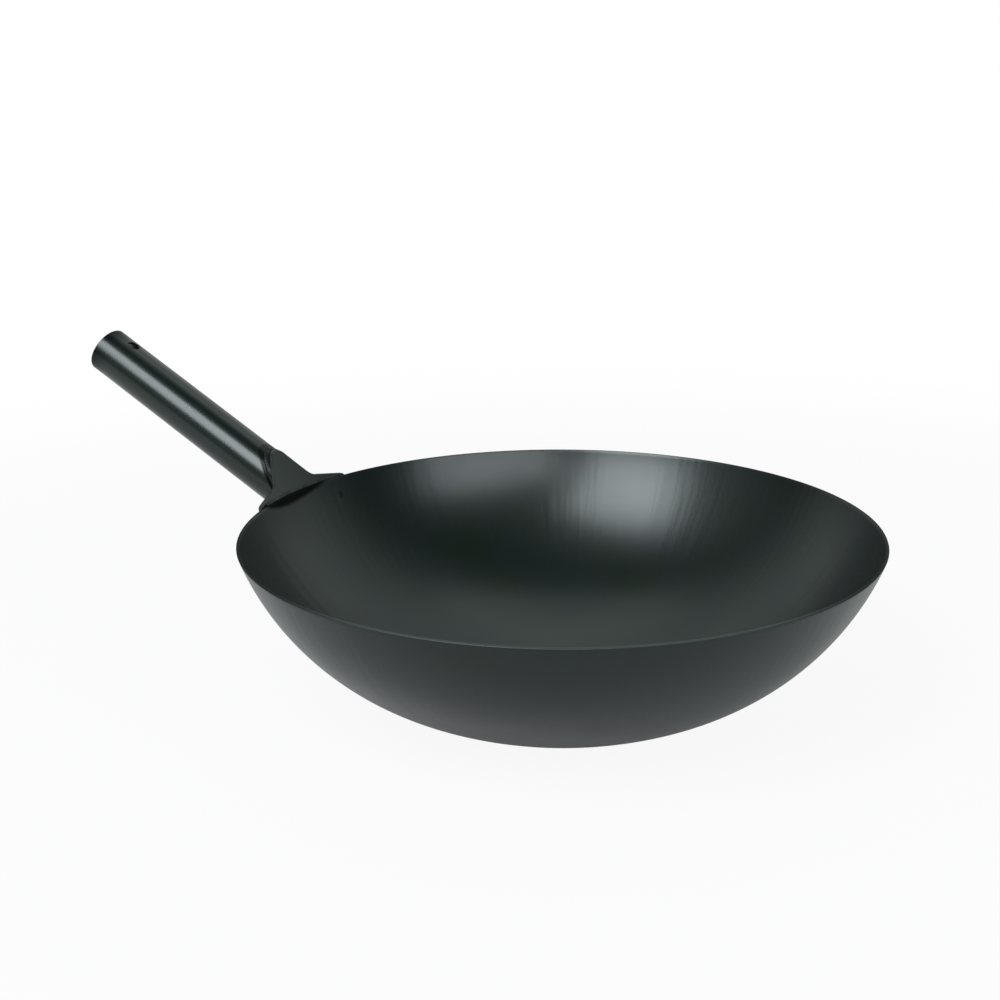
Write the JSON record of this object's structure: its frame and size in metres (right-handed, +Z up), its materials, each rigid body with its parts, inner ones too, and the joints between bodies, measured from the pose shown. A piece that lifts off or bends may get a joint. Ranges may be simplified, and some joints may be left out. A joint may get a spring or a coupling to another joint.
{
  "type": "carbon steel wok",
  "caption": "Wide open steel pan with curved sides, a small flat base and a slanting hollow tube handle welded on through a flared lug.",
  "frame": {"origin": "centre of the flat under the bowl, where it rests", "axes": "+Z up out of the open bowl, -X along the handle seen from above, +Y completes the right-handed frame"},
  "size_m": [0.5052, 0.3554, 0.1891],
  "materials": {
    "bowl_steel": "dark grey oxidised sheet with a soft semi-gloss",
    "handle_steel": "dark grey oxidised steel with a soft semi-gloss",
    "weld_steel": "heat-darkened weld metal, satin"
  },
  "bodies": {
    "root": {"bowl": "bowl_steel", "handle_lug": "handle_steel", "handle_tube": "handle_steel", "root_weld": "weld_steel", "rim_weld": "weld_steel", "spot_welds": "weld_steel"}
  },
  "joints": []
}
